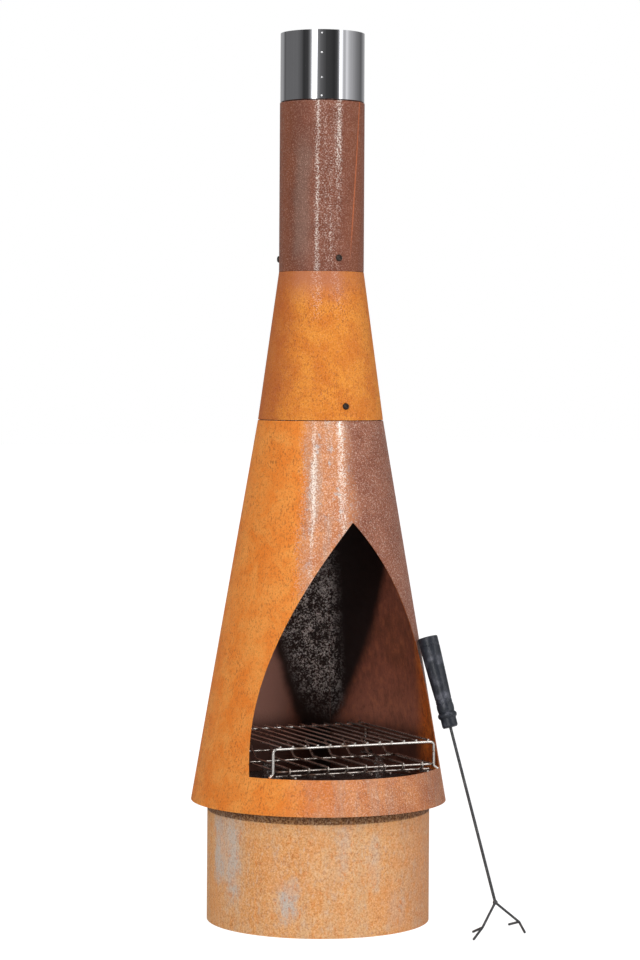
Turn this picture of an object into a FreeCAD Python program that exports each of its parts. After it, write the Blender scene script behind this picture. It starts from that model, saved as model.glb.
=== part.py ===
import FreeCAD, Part
import math
import os

# A free-standing steel chiminea, in millimetres.
# Origin on the stove's axis at floor level, +Z up, the mouth faces -Y.
# Directions around the axis are angles from -Y (0 degrees) towards +X (90 degrees).

V = FreeCAD.Vector
UP = V(0, 0, 1)
ORIGIN = V(0, 0, 0)

# ---- driving dimensions -------------------------------------------------------------------
TOTAL_H = 1400.0
WALL = 2.0                  # rolled steel sheet
SLEEVE_WALL = 0.8           # stainless sheet
GAP = 0.3                   # clearance between pieces that touch in use
SEAM = 1.2                  # open line where one shell stands on the next

BASE_R = 175.75             # outside of the base ring
BASE_H = 207.0

SKIRT_Z, SKIRT_R = 189.0, 201.7     # lower edge of the fire chamber, outside
NECK_Z, NECK_R = 788.7, 99.2        # joint of the two cones
THROAT_Z, THROAT_R = 1022.6, 67.2   # foot of the flue pipe
PIPE_TOP_Z = 1289.7
SLEEVE_R = 66.6

MOUTH_SILL_Z = 244.0
MOUTH_APEX_Z = 632.0
MOUTH_HALF_W = 162.0        # at the sill
MOUTH_BULGE = 37.0          # how far each side arcs out from its chord

COLLAR_BELOW, COLLAR_ABOVE = 32.0, 44.0   # collar lengths below and above a joint
CONE_SCREW_Z, CONE_SCREW_ANGLES = 811.0, (0, 180)
PIPE_SCREW_Z, PIPE_SCREW_ANGLES = 1043.0, (0, 120, 240)

# M6 button-head screws and their nuts
SHANK_R = 3.0
HEAD_R, HEAD_H = 5.3, 3.3
SOCKET_FLATS, SOCKET_DEPTH = 4.0, 2.0
CLEARANCE_R = 3.3
NUT_FLATS, NUT_H = 10.0, 5.0

FLOOR_T = 2.0
TAB_T, TAB_W, TAB_DROP = 3.0, 26.0, 17.0
TAB_REACH_R = 194.0
FLOOR_SCREW_R = 186.0
FLOOR_SCREW_ANGLES = (45, 135, 225, 315)

# cooking grill
GRILL_WIRE_R, GRILL_ROD_R = 2.0, 1.5
GRILL_RAIL_Z = 288.5
GRILL_HALF_W = 136.0
GRILL_FRONT_Y, GRILL_REAR_Y = -136.0, 116.0
GRILL_FOOT_Z = MOUTH_SILL_Z + GAP + GRILL_WIRE_R
GRILL_ROD_COUNT, GRILL_PITCH = 13, 20.9

# fire grate
GRATE_WIRE_R, GRATE_ROD_R = 1.7, 1.8
GRATE_RAIL_Z = 254.8
GRATE_HALF_W = 130.0
GRATE_FRONT_Y, GRATE_MID_Y = -142.0, -19.0
GRATE_ROD_COUNT, GRATE_PITCH = 8, 32.0
GRATE_ROD_Z = GRATE_RAIL_Z + GRATE_WIRE_R + GRATE_ROD_R
GRATE_LOW_RAIL_Y, GRATE_LOW_RAIL_Z = -131.0, 246.2
GRATE_RISE_Y, GRATE_BACK_Y, GRATE_BACK_Z = -14.0, 14.0, 280.0
REAR_RAIL_SHARE = 0.6       # how far up the rods' rising ends the rear rail lies
TOE_R, TOE_LENGTH, TOE_OFFSET = 1.5, 24.0, 4.2

# rest lugs, flat bars standing in from the chamber's wall, and the posts under the grate
LUG_W, LUG_T = 14.0, 3.0
LUG_TOP_Z, LUG_INNER_R = MOUTH_SILL_Z, 172.0
POST_X, POST_FOOT = 96.0, 20.0

# poker, leaning on the right side of the fire chamber
POKER_TOP = V(141.5, -100.7, 448.0)
POKER_FORK = V(203.5, -217.0, 46.5)
HANDLE_L, FERRULE_L = 134.0, 11.0
ROD_R, PRONG_R = 2.35, 1.9
TANG_L = 60.0               # the rod's length inside the handle
KNUCKLE_R = 3.9
LEFT_SPLIT = V(174.5, -231.0, 12.4)
LEFT_TIPS = (V(144.7, -260.1, PRONG_R), V(170.7, -207.1, PRONG_R))
RIGHT_SPLIT = V(246.9, -214.0, 12.8)
RIGHT_TIPS = (V(242.6, -240.8, PRONG_R), V(250.1, -175.0, PRONG_R))


# ---- helpers ------------------------------------------------------------------------------
def save(name, *solids):
    shape = solids[0] if len(solids) == 1 else Part.makeCompound(list(solids))
    shape.exportStep("parts/" + name + ".step")


def around(angle, radius, z=0.0):
    """A point at an angle around the axis, from -Y towards +X."""
    a = math.radians(angle)
    return V(radius * math.sin(a), -radius * math.cos(a), z)


def turned(outline):
    """The solid that a closed outline of (radius, height) points sweeps about the Z axis.

    A longer entry (r, z, middle r, middle z) reaches its point by an arc through the middle.
    """
    edges = []
    last = outline[-1]
    for entry in outline:
        start, end = V(last[0], 0, last[1]), V(entry[0], 0, entry[1])
        if len(entry) == 4:
            edges.append(Part.Arc(start, V(entry[2], 0, entry[3]), end).toShape())
        else:
            edges.append(Part.makeLine(start, end))
        last = entry
    return Part.Face(Part.Wire(edges)).revolve(ORIGIN, UP, 360)


def line_at(z, low, high):
    """Radius at a height on the line between two (height, radius) pairs."""
    share = (z - low[0]) / (high[0] - low[0])
    return low[1] + share * (high[1] - low[1])


CHAMBER_LINE = ((SKIRT_Z, SKIRT_R), (NECK_Z, NECK_R))
UPPER_LINE = ((NECK_Z, NECK_R), (THROAT_Z, THROAT_R))
PIPE_LINE = ((THROAT_Z, THROAT_R), (PIPE_TOP_Z, THROAT_R))


def level_wall(line):
    """A sheet's thickness measured level, on a cone whose outside is the given line."""
    slope = (line[0][1] - line[1][1]) / (line[1][0] - line[0][0])
    return WALL * math.sqrt(1 + slope * slope)


def shell(line, z0, z1):
    """A conical sheet between two heights, its outside on the given line."""
    wall = level_wall(line)
    r0, r1 = line_at(z0, *line), line_at(z1, *line)
    return turned([(r0, z0), (r1, z1), (r1 - wall, z1), (r0 - wall, z0)])


def bent_path(points, bends, closed=False):
    """Straight runs joined by tangent arcs. bends holds one radius for each inner corner."""
    edges = []
    count = len(points)
    corners = range(count) if closed else range(1, count - 1)
    cut = {}
    for corner, bend in zip(corners, bends):
        here = points[corner]
        before = (here - points[corner - 1]).normalize()
        after = (points[(corner + 1) % count] - here).normalize()
        half = before.getAngle(after) / 2
        run = bend * math.tan(half)
        inward = (after - before).normalize()
        middle = here + inward * (bend / math.cos(half) - bend)
        cut[corner] = (here - before * run, middle, here + after * run)
    for index in range(count if closed else count - 1):
        nxt = (index + 1) % count
        start = cut[index][2] if index in cut else points[index]
        end = cut[nxt][0] if nxt in cut else points[nxt]
        edges.append(Part.makeLine(start, end))
        if nxt in cut:
            edges.append(Part.Arc(*cut[nxt]).toShape())
    return Part.Wire(edges)


def wire(points, bends, radius, closed=False):
    """A round wire bent along a path of runs and arcs."""
    path = bent_path(points, bends, closed)
    first = path.Edges[0]
    start = first.valueAt(first.FirstParameter)
    along = first.tangentAt(first.FirstParameter)
    section = Part.Wire(Part.makeCircle(radius, start, along))
    return path.makePipeShell([section], True, False)


def straight(a, b, radius):
    return Part.makeCylinder(radius, (b - a).Length, a, b - a)


def hexagon(flats, height, at, along):
    """A hexagonal prism across the given flats."""
    corner = flats / math.sqrt(3)
    frame = FreeCAD.Rotation(UP, along)
    points = []
    for k in range(7):
        a = math.radians(60 * k)
        points.append(at + frame.multVec(V(corner * math.cos(a), corner * math.sin(a), 0)))
    return Part.Face(Part.makePolygon(points)).extrude(V(along).normalize() * height)


def button_screw(seat, outward, length):
    """A button-head screw: seat is the head's underside, outward points out of the head."""
    crown_r = HEAD_R * 0.55
    dome = turned([(0, 0), (HEAD_R, 0), (HEAD_R, 0.6),
                   (crown_r, HEAD_H, HEAD_R * 0.88, HEAD_H * 0.64), (0, HEAD_H)])
    body = dome.fuse(Part.makeCylinder(SHANK_R, length, V(0, 0, -length), UP))
    socket = hexagon(SOCKET_FLATS, SOCKET_DEPTH + 1, V(0, 0, HEAD_H - SOCKET_DEPTH), UP)
    body = body.cut(socket).removeSplitter()
    body.Placement = FreeCAD.Placement(seat, FreeCAD.Rotation(UP, outward))
    return body


def hex_nut(face, outward):
    """A nut whose bearing face is at face, and which lies on the far side from outward."""
    back = V(outward).normalize() * -1
    body = hexagon(NUT_FLATS, NUT_H, face, back)
    return body.cut(Part.makeCylinder(SHANK_R + 0.05, NUT_H + 2, face - back, back))


def wall_point(line, angle, z):
    """A point on a cone's outside, and the outward normal there."""
    slope = (line[0][1] - line[1][1]) / (line[1][0] - line[0][0])
    normal = (around(angle, 1) + V(0, 0, slope)).normalize()
    return around(angle, line_at(z, *line), z), normal


def holes(line, z, angles):
    """Drills for the clearance holes of one ring of screws."""
    drills = []
    for angle in angles:
        point, normal = wall_point(line, angle, z)
        drills.append(Part.makeCylinder(CLEARANCE_R, 30, point - normal * 18, normal))
    return drills


# ---- base and floor -----------------------------------------------------------------------
def base_ring():
    return turned([(BASE_R - WALL, 0), (BASE_R, 0), (BASE_R, BASE_H), (BASE_R - WALL, BASE_H)])


def base_tab(angle):
    """An angle tab welded to the outside of the base ring's top, under the fire floor."""
    reach = TAB_REACH_R - BASE_R - GAP
    top = Part.makeBox(reach, TAB_W, TAB_T, V(BASE_R + GAP, -TAB_W / 2, BASE_H - TAB_T))
    leg = Part.makeBox(TAB_T, TAB_W, TAB_DROP, V(BASE_R + GAP, -TAB_W / 2, BASE_H - TAB_DROP))
    clear = Part.makeCylinder(BASE_R + GAP / 2, BASE_H)
    tab = top.fuse(leg).cut(clear).removeSplitter()
    tab = tab.cut(Part.makeCylinder(CLEARANCE_R, 20, V(FLOOR_SCREW_R, 0, BASE_H - 10), UP))
    tab.rotate(ORIGIN, UP, angle - 90)
    return tab


def fire_floor():
    """The round plate that closes the chamber and stands on the base ring."""
    inner = [line_at(z, *CHAMBER_LINE) - level_wall(CHAMBER_LINE) - GAP
             for z in (BASE_H, BASE_H + FLOOR_T)]
    plate = turned([(0, BASE_H), (inner[0], BASE_H), (inner[1], BASE_H + FLOOR_T),
                    (0, BASE_H + FLOOR_T)])
    for angle in FLOOR_SCREW_ANGLES:
        at = around(angle, FLOOR_SCREW_R, BASE_H - 5)
        plate = plate.cut(Part.makeCylinder(CLEARANCE_R, 20, at, UP))
    return plate


# ---- shells -------------------------------------------------------------------------------
def mouth_cutter():
    """A prism along -Y with the mouth's outline: a flat sill and two arcs that meet in a point."""
    apex = V(0, 0, MOUTH_APEX_Z)
    sides = []
    for side in (1, -1):
        foot = V(side * MOUTH_HALF_W, 0, MOUTH_SILL_Z)
        chord = apex - foot
        normal = V(side * abs(chord.z), 0, abs(chord.x)).normalize()
        sides.append((foot, (foot + apex) * 0.5 + normal * MOUTH_BULGE))
    outline = Part.Wire([
        Part.makeLine(sides[1][0], sides[0][0]),
        Part.Arc(sides[0][0], sides[0][1], apex).toShape(),
        Part.Arc(apex, sides[1][1], sides[1][0]).toShape()])
    return Part.Face(outline).extrude(V(0, -300, 0))


def fire_chamber():
    body = shell(CHAMBER_LINE, SKIRT_Z, NECK_Z - SEAM / 2)
    return body.cut(mouth_cutter())


def upper_cone():
    body = shell(UPPER_LINE, NECK_Z + SEAM / 2, THROAT_Z - SEAM / 4)
    for drill in holes(UPPER_LINE, CONE_SCREW_Z, CONE_SCREW_ANGLES):
        body = body.cut(drill)
    return body


def collar(below, above, joint_z):
    """A ring inside a joint, which follows the shell below it and the shell above it."""
    inset = level_wall(below) + GAP
    low, high = joint_z - COLLAR_BELOW, joint_z + COLLAR_ABOVE
    radii = [line_at(low, *below) - inset, min(line_at(joint_z, *below),
             line_at(joint_z, *above)) - inset, line_at(high, *above) - inset]
    outside = list(zip(radii, (low, joint_z, high)))
    inside = [(r - WALL, z) for r, z in reversed(outside)]
    return turned(outside + inside)


def cone_collar():
    body = collar(CHAMBER_LINE, UPPER_LINE, NECK_Z)
    for drill in holes(UPPER_LINE, CONE_SCREW_Z, CONE_SCREW_ANGLES):
        body = body.cut(drill)
    return body


def pipe_collar():
    body = collar(UPPER_LINE, PIPE_LINE, THROAT_Z)
    for drill in holes(PIPE_LINE, PIPE_SCREW_Z, PIPE_SCREW_ANGLES):
        body = body.cut(drill)
    return body


def flue_pipe():
    body = shell(PIPE_LINE, THROAT_Z + SEAM / 4, PIPE_TOP_Z)
    for drill in holes(PIPE_LINE, PIPE_SCREW_Z, PIPE_SCREW_ANGLES):
        body = body.cut(drill)
    return body


def chimney_sleeve():
    """The stainless top: flush with the pipe, its swaged lower end pushed down inside it."""
    swage_r = THROAT_R - WALL - GAP
    step_z, low_z = PIPE_TOP_Z + GAP, PIPE_TOP_Z - 40
    outside = [(swage_r, low_z), (swage_r, step_z), (SLEEVE_R, step_z + 1.6), (SLEEVE_R, TOTAL_H)]
    inside = [(r - SLEEVE_WALL, z) for r, z in reversed(outside)]
    inside[-1], inside[-2] = (swage_r - SLEEVE_WALL, low_z), (swage_r - SLEEVE_WALL, step_z)
    tube = turned(outside + inside)
    lap_r = SLEEVE_R + SLEEVE_WALL
    lap = turned([(SLEEVE_R - 0.1, step_z + 2.2), (lap_r, step_z + 2.2), (lap_r, TOTAL_H),
                  (SLEEVE_R - 0.1, TOTAL_H)])
    keep = Part.makeBox(200, 13, 200, V(0, -6.5, step_z))
    keep.rotate(ORIGIN, UP, -25 - 90)
    return tube.fuse(lap.common(keep))


# ---- screws and nuts ----------------------------------------------------------------------
def joint_screws(line, z, angles):
    screws, nuts = [], []
    collar_back = 2 * WALL + GAP + 0.1
    for angle in angles:
        seat, normal = wall_point(line, angle, z)
        screws.append(button_screw(seat + normal * 0.15, normal, 12))
        nuts.append(hex_nut(seat - normal * (collar_back + 0.15), normal))
    return screws, nuts


def floor_fasteners():
    screws, nuts = [], []
    for angle in FLOOR_SCREW_ANGLES:
        screws.append(button_screw(around(angle, FLOOR_SCREW_R, BASE_H + FLOOR_T), UP, 16))
        nuts.append(hex_nut(around(angle, FLOOR_SCREW_R, BASE_H - TAB_T), UP))
    return screws, nuts


# ---- rests inside the chamber -------------------------------------------------------------
def rest_lug(x, y):
    """A flat lug that stands in from the chamber's wall, under the given place."""
    bar = Part.makeBox(60, LUG_W, LUG_T, V(LUG_INNER_R, -LUG_W / 2, LUG_TOP_Z - LUG_T))
    bar.rotate(ORIGIN, UP, math.degrees(math.atan2(y, x)))
    inset = level_wall(CHAMBER_LINE) + GAP / 2
    low, high = LUG_TOP_Z - 20, LUG_TOP_Z + 20
    room = turned([(0, low), (line_at(low, *CHAMBER_LINE) - inset, low),
                   (line_at(high, *CHAMBER_LINE) - inset, high), (0, high)])
    return bar.common(room)


def rest_lugs():
    places = [(GRATE_HALF_W, GRATE_LOW_RAIL_Y), (GRILL_HALF_W, GRILL_REAR_Y)]
    return [rest_lug(side * x, y) for side in (1, -1) for x, y in places]


def grate_post(side):
    """A flat bar that stands on the fire floor under the grate's middle rail."""
    foot_z = BASE_H + FLOOR_T
    top_z = GRATE_RAIL_Z - GRATE_WIRE_R - GAP
    x, y = side * POST_X - LUG_W / 2, GRATE_MID_Y - LUG_T / 2
    upright = Part.makeBox(LUG_W, LUG_T, top_z - foot_z, V(x, y, foot_z))
    foot = Part.makeBox(LUG_W, POST_FOOT, LUG_T, V(x, y, foot_z))
    return upright.fuse(foot).removeSplitter()


# ---- cooking grill ------------------------------------------------------------------------
def grill_frame(y, foot_out_y):
    """A rail across the chamber with a leg at each end, and each foot bent outwards."""
    half, out = GRILL_HALF_W, 7.0
    bend_z = GRILL_FOOT_Z + 5
    points = [V(-half - out, y + foot_out_y, GRILL_FOOT_Z), V(-half, y, bend_z),
              V(-half, y, GRILL_RAIL_Z), V(half, y, GRILL_RAIL_Z),
              V(half, y, bend_z), V(half + out, y + foot_out_y, GRILL_FOOT_Z)]
    return wire(points, (4, 6, 6, 4), GRILL_WIRE_R)


def grill_rods():
    z = GRILL_RAIL_Z + GRILL_WIRE_R + GRILL_ROD_R
    first = -GRILL_PITCH * (GRILL_ROD_COUNT - 1) / 2
    rods = []
    for k in range(GRILL_ROD_COUNT):
        x = first + k * GRILL_PITCH
        rods.append(straight(V(x, GRILL_FRONT_Y - 3, z), V(x, GRILL_REAR_Y + 3, z), GRILL_ROD_R))
    return rods


# ---- fire grate ---------------------------------------------------------------------------
def grate_xs():
    first = -GRATE_PITCH * (GRATE_ROD_COUNT - 1) / 2
    return [first + k * GRATE_PITCH for k in range(GRATE_ROD_COUNT)]


def grate_frame():
    """A closed rectangle of wire: front rail, two sides and the middle rail."""
    half, z = GRATE_HALF_W, GRATE_RAIL_Z
    points = [V(-half, GRATE_FRONT_Y, z), V(half, GRATE_FRONT_Y, z),
              V(half, GRATE_MID_Y, z), V(-half, GRATE_MID_Y, z)]
    return wire(points, (6, 6, 6, 6), GRATE_WIRE_R, closed=True)


def grate_rod(x):
    """A rod over the frame: bent up at the back, and hooked down over the front rail."""
    hook_r = GRATE_WIRE_R + GRATE_ROD_R
    centre = V(x, GRATE_FRONT_Y, GRATE_RAIL_Z)
    top = centre + V(0, 0, hook_r)
    front = centre + V(0, -hook_r, 0)
    turn = math.radians(143)
    end = centre + V(0, -hook_r * math.sin(turn), hook_r * math.cos(turn))
    middle = centre + V(0, -hook_r * math.sin(turn / 2), hook_r * math.cos(turn / 2))
    away = V(0, -math.cos(turn), -math.sin(turn))
    tip = end + away * ((end.z - GRATE_LOW_RAIL_Z) / -away.z)
    rear = bent_path([V(x, GRATE_BACK_Y, GRATE_BACK_Z), V(x, GRATE_RISE_Y, GRATE_ROD_Z), top], (9,))
    edges = rear.Edges + [Part.Arc(top, middle, end).toShape(), Part.makeLine(end, tip)]
    path = Part.Wire(edges)
    start = V(x, GRATE_BACK_Y, GRATE_BACK_Z)
    along = V(x, GRATE_RISE_Y, GRATE_ROD_Z) - start
    section = Part.Wire(Part.makeCircle(GRATE_ROD_R, start, along))
    return path.makePipeShell([section], True, False)


def grate_rear_rail():
    """The straight wire under the rising ends of the rods."""
    y = GRATE_RISE_Y + REAR_RAIL_SHARE * (GRATE_BACK_Y - GRATE_RISE_Y)
    z = GRATE_ROD_Z + REAR_RAIL_SHARE * (GRATE_BACK_Z - GRATE_ROD_Z)
    rise = math.atan2(GRATE_BACK_Z - GRATE_ROD_Z, GRATE_BACK_Y - GRATE_RISE_Y)
    offset = GRATE_WIRE_R + GRATE_ROD_R
    y, z = y + offset * math.sin(rise), z - offset * math.cos(rise)
    reach = grate_xs()[-1] + 6
    return straight(V(-reach, y, z), V(reach, y, z), GRATE_WIRE_R)


def grate_toes():
    toes = []
    y = GRATE_LOW_RAIL_Y - GRATE_WIRE_R
    for x in grate_xs():
        start = V(x + TOE_OFFSET, y, GRATE_LOW_RAIL_Z)
        toes.append(straight(start, start - V(0, TOE_LENGTH, 0), TOE_R))
    return toes


# ---- poker --------------------------------------------------------------------------------
def along_poker(body):
    """Set a body turned about Z, with its top end at z = 0, on the poker's axis."""
    down = (POKER_FORK - POKER_TOP).normalize()
    body.Placement = FreeCAD.Placement(POKER_TOP, FreeCAD.Rotation(V(0, 0, -1), down))
    return body


def poker_handle():
    """Turned: a round top, two fine grooves, a long taper, two more grooves, a swell and a bead."""
    outline = [
        (0, 0), (14.0, 0), (15.7, -2.0, 15.3, -0.6),
        (15.7, -14.0), (15.7, -15.2, 15.1, -14.6),
        (12.9, -100.0, 14.6, -55.0),
        (12.9, -101.2, 12.3, -100.6), (13.0, -106.4), (13.0, -107.6, 12.4, -107.0),
        (12.5, -121.0, 13.5, -114.0),
        (12.5, -130.6, 15.1, -125.8), (12.2, -HANDLE_L), (0, -HANDLE_L)]
    bore = Part.makeCylinder(ROD_R + 0.05, TANG_L, V(0, 0, -HANDLE_L - FERRULE_L), UP)
    return along_poker(turned(outline).cut(bore))


def poker_ferrule():
    top, low = -HANDLE_L, -HANDLE_L - FERRULE_L
    outline = [(ROD_R + 0.05, top), (12.4, top), (12.4, low + 2.5), (11.0, low), (ROD_R + 0.05, low)]
    return along_poker(turned(outline))


def poker_rod():
    length = (POKER_FORK - POKER_TOP).Length
    start = HANDLE_L + FERRULE_L - TANG_L
    body = Part.makeCylinder(ROD_R, length - start, V(0, 0, -length), UP)
    knuckle = Part.makeSphere(KNUCKLE_R, V(0, 0, -length))
    return along_poker(body.fuse(knuckle).removeSplitter())


def poker_claw(split, tips):
    """Half of the fork: a leg from the knuckle that parts into two round-ended prongs."""
    body = straight(POKER_FORK, split, PRONG_R).fuse(Part.makeSphere(PRONG_R, split))
    for tip in tips:
        body = body.fuse(straight(split, tip, PRONG_R)).fuse(Part.makeSphere(PRONG_R, tip))
    return body.cut(Part.makeSphere(KNUCKLE_R + 0.02, POKER_FORK)).removeSplitter()


# ---- write every node ---------------------------------------------------------------------
os.makedirs("parts", exist_ok=True)

save("base_ring", base_ring())
save("base_tabs", *[base_tab(angle) for angle in FLOOR_SCREW_ANGLES])
save("fire_floor", fire_floor())
floor_screws, floor_nuts = floor_fasteners()
save("floor_screws", *floor_screws)
save("floor_nuts", *floor_nuts)

save("fire_chamber", fire_chamber())
save("rest_lugs", *rest_lugs())
save("grate_posts", *[grate_post(side) for side in (1, -1)])
save("cone_collar", cone_collar())
save("upper_cone", upper_cone())
cone_screws, cone_nuts = joint_screws(UPPER_LINE, CONE_SCREW_Z, CONE_SCREW_ANGLES)
save("cone_screws", *cone_screws)
save("cone_nuts", *cone_nuts)
save("pipe_collar", pipe_collar())
save("flue_pipe", flue_pipe())
pipe_screws, pipe_nuts = joint_screws(PIPE_LINE, PIPE_SCREW_Z, PIPE_SCREW_ANGLES)
save("pipe_screws", *pipe_screws)
save("pipe_nuts", *pipe_nuts)
save("chimney_sleeve", chimney_sleeve())

save("grill_front_frame", grill_frame(GRILL_FRONT_Y, -1.5))
save("grill_rear_frame", grill_frame(GRILL_REAR_Y, 1.5))
save("grill_rods", *grill_rods())

save("grate_frame", grate_frame())
low_rail = V(GRATE_HALF_W, GRATE_LOW_RAIL_Y, GRATE_LOW_RAIL_Z)
save("grate_low_rail", straight(V(-low_rail.x, low_rail.y, low_rail.z), low_rail, GRATE_WIRE_R))
save("grate_rear_rail", grate_rear_rail())
save("grate_rods", *[grate_rod(x) for x in grate_xs()])
save("grate_toes", *grate_toes())

save("poker_handle", poker_handle())
save("poker_ferrule", poker_ferrule())
save("poker_rod", poker_rod())
save("poker_fork_left", poker_claw(LEFT_SPLIT, LEFT_TIPS))
save("poker_fork_right", poker_claw(RIGHT_SPLIT, RIGHT_TIPS))
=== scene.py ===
"""A tall rusted steel chiminea: finishes, weld beads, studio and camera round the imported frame."""

import math

import bmesh
import bpy
from mathutils import Matrix, Vector


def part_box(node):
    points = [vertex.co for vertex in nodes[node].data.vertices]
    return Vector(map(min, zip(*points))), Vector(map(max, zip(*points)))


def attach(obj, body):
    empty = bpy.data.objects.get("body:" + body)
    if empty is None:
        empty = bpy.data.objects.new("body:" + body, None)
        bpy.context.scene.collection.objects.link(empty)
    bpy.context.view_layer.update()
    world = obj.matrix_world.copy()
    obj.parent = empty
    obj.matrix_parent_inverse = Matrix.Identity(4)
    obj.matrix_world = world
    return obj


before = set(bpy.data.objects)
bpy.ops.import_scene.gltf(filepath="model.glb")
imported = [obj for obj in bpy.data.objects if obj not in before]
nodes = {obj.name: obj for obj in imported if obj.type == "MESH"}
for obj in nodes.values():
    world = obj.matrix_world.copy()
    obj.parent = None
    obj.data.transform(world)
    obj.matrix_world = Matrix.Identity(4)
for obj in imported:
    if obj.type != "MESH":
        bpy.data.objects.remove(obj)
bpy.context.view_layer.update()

# ---- places taken from the frame ----------------------------------------------------------
base_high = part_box("base_ring")[1]
skirt_low, skirt_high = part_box("fire_chamber")
cone_low, cone_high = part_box("upper_cone")
pipe_low, pipe_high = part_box("flue_pipe")
sleeve_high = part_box("chimney_sleeve")[1]

BASE_R = base_high.x
SKIRT_R, SKIRT_Z = skirt_high.x, skirt_low.z
NECK_R, NECK_Z = cone_high.x, cone_low.z
THROAT_R, THROAT_Z = pipe_high.x, pipe_low.z
PIPE_TOP_Z = pipe_high.z
SLEEVE_R = sleeve_high.x
CHAMBER_SLOPE = (SKIRT_R - NECK_R) / (NECK_Z - SKIRT_Z)
UPPER_SLOPE = (NECK_R - THROAT_R) / (THROAT_Z - NECK_Z)
WALL = 0.002                  # the rolled sheet


def srgb(red, green, blue):
    """A colour given 0 to 255, as the linear colour that a shader takes."""
    def linear(part):
        part /= 255
        return part / 12.92 if part <= 0.04045 else ((part + 0.055) / 1.055) ** 2.4
    return (linear(red), linear(green), linear(blue), 1.0)


# ---- node building ------------------------------------------------------------------------
def fill(tree, node, sockets):
    """Links or sets a node's inputs, each by its name or its number."""
    for key, value in sockets.items():
        if isinstance(value, bpy.types.NodeSocket):
            tree.links.new(value, node.inputs[key])
        else:
            node.inputs[key].default_value = value


def add(tree, kind, sockets=None, **settings):
    """A new node with its settings and its inputs."""
    node = tree.nodes.new("ShaderNode" + kind)
    for name, value in settings.items():
        setattr(node, name, value)
    fill(tree, node, sockets or {})
    return node


def calc(tree, operation, *values):
    return add(tree, "Math", dict(enumerate(values)), operation=operation).outputs[0]


def blend(tree, share, under, over):
    """Colour over laid on colour under by a share."""
    return add(tree, "Mix", {0: share, 6: under, 7: over}, data_type="RGBA").outputs[2]


def tint(tree, under, mask, share, over):
    """Colour over laid on colour under where a mask is, up to a share."""
    return blend(tree, calc(tree, "MULTIPLY", mask, share), under, over)


def between(tree, value, low, high, bottom=0.0, top=1.0):
    """A value carried smoothly from bottom at low to top at high."""
    node = add(tree, "MapRange", {0: value, 1: low, 2: high, 3: bottom, 4: top},
               interpolation_type="SMOOTHSTEP")
    return node.outputs[0]


def grain(tree, place, scale, detail=3.0, rough=0.55, stretch=(1, 1, 1), warp=0.0):
    """Noise over a place, its pattern drawn out along an axis where stretch is below 1."""
    if tuple(stretch) != (1, 1, 1):
        place = add(tree, "Mapping", {"Vector": place, "Scale": stretch}).outputs[0]
    node = add(tree, "TexNoise", {"Vector": place, "Scale": scale, "Detail": detail,
                                  "Roughness": rough, "Distortion": warp})
    return node.outputs[0]


def new_group(name, wants, gives):
    """A shader node group with its sockets, its tree, its inputs and its output node."""
    tree = bpy.data.node_groups.new(name, "ShaderNodeTree")
    for socket, kind, default in wants:
        made = tree.interface.new_socket(socket, in_out="INPUT", socket_type="NodeSocket" + kind)
        if default is not None:
            made.default_value = default
    for socket, kind in gives:
        tree.interface.new_socket(socket, in_out="OUTPUT", socket_type="NodeSocket" + kind)
    inputs = tree.nodes.new("NodeGroupInput").outputs
    outputs = tree.nodes.new("NodeGroupOutput").inputs
    return tree, inputs, outputs


def use(tree, group, sockets):
    """The outputs of a node group laid in a tree."""
    node = tree.nodes.new("ShaderNodeGroup")
    node.node_tree = group
    fill(tree, node, sockets)
    return node.outputs


# ---- shared effects -----------------------------------------------------------------------
def where_group():
    """The angle round the axis from -Y towards +X in degrees, the height and the radius."""
    tree, inputs, outputs = new_group(
        "where_on_shell", [("Place", "Vector", None)],
        [("Angle", "Float"), ("Rise", "Float"), ("Radius", "Float")])
    split = add(tree, "SeparateXYZ", {0: inputs["Place"]}).outputs
    back = calc(tree, "MULTIPLY", split["Y"], -1.0)
    turn = calc(tree, "ARCTAN2", split["X"], back)
    tree.links.new(calc(tree, "DEGREES", turn), outputs["Angle"])
    tree.links.new(split["Z"], outputs["Rise"])
    square = calc(tree, "ADD", calc(tree, "MULTIPLY", split["X"], split["X"]),
                  calc(tree, "MULTIPLY", split["Y"], split["Y"]))
    tree.links.new(calc(tree, "SQRT", square), outputs["Radius"])
    return tree


def patch_group():
    """A soft-edged patch of a shell between two angles and two heights, its edge ragged."""
    tree, inputs, outputs = new_group(
        "shell_patch",
        [("Angle", "Float", 0.0), ("Rise", "Float", 0.0), ("Ragged", "Float", 0.5),
         ("From", "Float", -10.0), ("To", "Float", 10.0), ("Low", "Float", 0.0),
         ("High", "Float", 1.0), ("Soft turn", "Float", 4.0), ("Soft rise", "Float", 0.02),
         ("Rag", "Float", 1.0)],
        [("Mask", "Float")])
    shift = calc(tree, "MULTIPLY", calc(tree, "SUBTRACT", inputs["Ragged"], 0.5), inputs["Rag"])
    angle = calc(tree, "MULTIPLY_ADD", shift, inputs["Soft turn"], inputs["Angle"])
    rise = calc(tree, "MULTIPLY_ADD", shift, inputs["Soft rise"], inputs["Rise"])
    edges = []
    for value, limit, soft, way in (
            (angle, "From", "Soft turn", 1), (angle, "To", "Soft turn", -1),
            (rise, "Low", "Soft rise", 1), (rise, "High", "Soft rise", -1)):
        gap = calc(tree, "SUBTRACT", value, inputs[limit])
        share = calc(tree, "DIVIDE", gap, inputs[soft])
        edges.append(between(tree, calc(tree, "MULTIPLY", share, float(way)), -0.5, 0.5))
    mask = edges[0]
    for edge in edges[1:]:
        mask = calc(tree, "MULTIPLY", mask, edge)
    tree.links.new(mask, outputs["Mask"])
    return tree


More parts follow.
